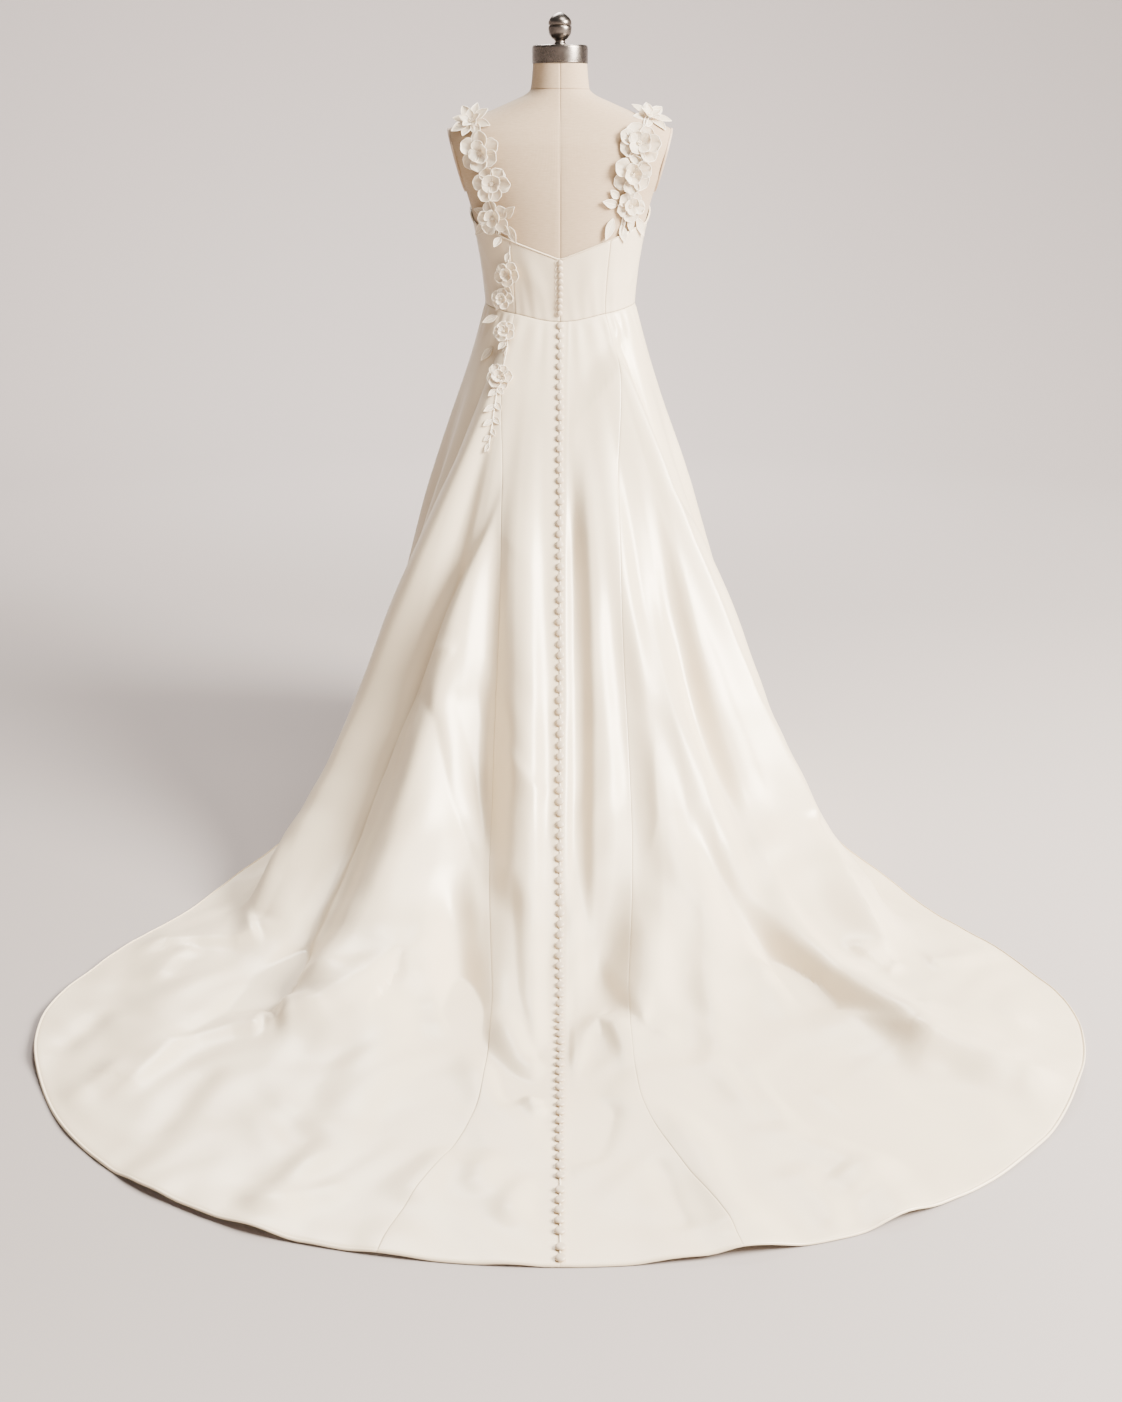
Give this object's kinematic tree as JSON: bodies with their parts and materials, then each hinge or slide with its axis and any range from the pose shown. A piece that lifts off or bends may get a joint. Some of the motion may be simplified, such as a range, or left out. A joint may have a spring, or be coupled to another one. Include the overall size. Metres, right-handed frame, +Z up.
{
  "type": "wedding dress on dress form",
  "caption": "satin wedding dress with fitted open-back bodice, flowered shoulder straps, buttoned back closure and long round train, on a limbless dress form",
  "frame": {"origin": "on the floor at the centre of the stand base's underside, under the form's pole", "axes": "+Z up, -Y toward the train and the buttoned back of the dress, +Y toward its front, +X the wearer's right"},
  "size_m": [1.7244, 2.1426, 1.663],
  "materials": {
    "ivory_satin": "soft satin sheen",
    "covered_button": "satin stretched over a dome",
    "organza_flower": "stiff sheer organza with corded edges",
    "strap_ribbon": "corded ribbon",
    "form_linen": "plain woven linen",
    "arm_plate_board": "satin",
    "brushed_nickel": "brushed, warm nickel",
    "base_iron": "matte black"
  },
  "bodies": {
    "root": {"bodice_back_left": "ivory_satin", "bodice_back_right": "ivory_satin", "bodice_front": "ivory_satin", "bodice_side_back_left": "ivory_satin", "bodice_side_back_right": "ivory_satin", "bodice_side_front_left": "ivory_satin", "bodice_side_front_right": "ivory_satin", "buttons_bodice": "covered_button", "buttons_skirt_1": "covered_button", "buttons_skirt_2": "covered_button", "buttons_skirt_3": "covered_button", "buttons_skirt_4": "covered_button", "flower_left_2": "organza_flower", "flower_left_3": "organza_flower", "flower_left_4": "organza_flower", "flower_left_front_1": "organza_flower", "flower_left_front_2": "organza_flower", "flower_left_shoulder": "organza_flower", "flower_right_2": "organza_flower", "flower_right_3": "organza_flower", "flower_right_4": "organza_flower", "flower_right_front_1": "organza_flower", "flower_right_front_2": "organza_flower", "flower_right_shoulder": "organza_flower", "flower_trail_1": "organza_flower", "flower_trail_2": "organza_flower", "flower_trail_3": "organza_flower", "flower_trail_4": "organza_flower", "form_arm_plate_left": "arm_plate_board", "form_arm_plate_right": "arm_plate_board", "form_base": "base_iron", "form_cap": "brushed_nickel", "form_finial": "brushed_nickel", "form_neck": "form_linen", "form_pole": "brushed_nickel", "form_torso": "form_linen", "leaf_left_drop": "organza_flower", "leaf_left_inner": "organza_flower", "leaf_left_side": "organza_flower", "leaf_right_drop": "organza_flower", "leaf_right_inner": "organza_flower", "leaf_right_outer": "organza_flower", "leaf_trail_left": "organza_flower", "skirt_back_left": "ivory_satin", "skirt_back_right": "ivory_satin", "skirt_front": "ivory_satin", "skirt_side_left": "ivory_satin", "skirt_side_right": "ivory_satin", "strap_left": "strap_ribbon", "strap_right": "strap_ribbon", "trail_stem_lower": "strap_ribbon", "trail_stem_upper": "strap_ribbon"}
  },
  "joints": []
}
